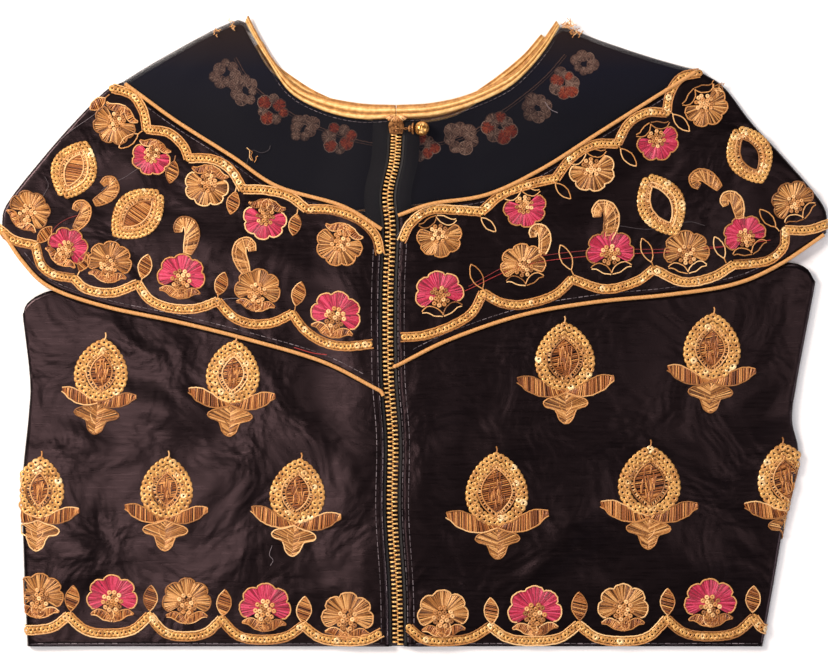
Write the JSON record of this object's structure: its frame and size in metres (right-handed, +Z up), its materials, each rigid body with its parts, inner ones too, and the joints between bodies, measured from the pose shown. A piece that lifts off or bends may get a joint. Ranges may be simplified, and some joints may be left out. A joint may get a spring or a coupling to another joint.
{
  "type": "choli blouse",
  "caption": "Short fitted black satin blouse with cap sleeves, net yoke, gold sequin embroidery and a back zip with a bead pull, laid flat on its front.",
  "frame": {"origin": "middle of the blouse's outline on the surface it lies on", "axes": "+X across the blouse, towards the viewer's right; +Y towards the neck; +Z up, out of the zipped back"},
  "size_m": [0.4539, 0.3471, 0.0132],
  "materials": {
    "satin": "satin",
    "net": "matte",
    "neck_tape": "satin",
    "piping": "matte",
    "zip_tape": "matte",
    "brass_teeth": "satin",
    "bronze": "satin",
    "bead": "gloss",
    "gold_thread": "satin",
    "leaf_thread": "satin",
    "pink_thread": "satin",
    "sequins": "gloss",
    "sewing_thread": "matte"
  },
  "bodies": {
    "blouse": {"back_left": "satin", "back_right": "satin", "front_body": "satin", "back_band_left": "satin", "back_band_right": "satin", "front_band": "satin", "back_yoke_left": "net", "back_yoke_right": "net", "front_yoke": "net", "neck_binding_left": "neck_tape", "neck_binding_right": "neck_tape", "neck_binding_front": "neck_tape", "piping_upper_left": "piping", "piping_upper_right": "piping", "piping_lower_left": "piping", "piping_lower_right": "piping", "piping_upper_front": "piping", "piping_lower_front": "piping", "zip_tape_left": "zip_tape", "zip_tape_right": "zip_tape", "zip_chain": "brass_teeth", "zip_slider": "bronze"},
    "zip_pull": {"zip_pull_link": "bronze", "zip_pull_cap": "bronze", "zip_pull_bead": "bead"}
  },
  "joints": [
    {"name": "zip_pull_swing", "type": "hinge", "parent": "blouse", "child": "zip_pull", "pos_m": [-0.0098, 0.111, 0.0074], "axis": [0, -1, 0], "range_deg": [0, 165]}
  ]
}
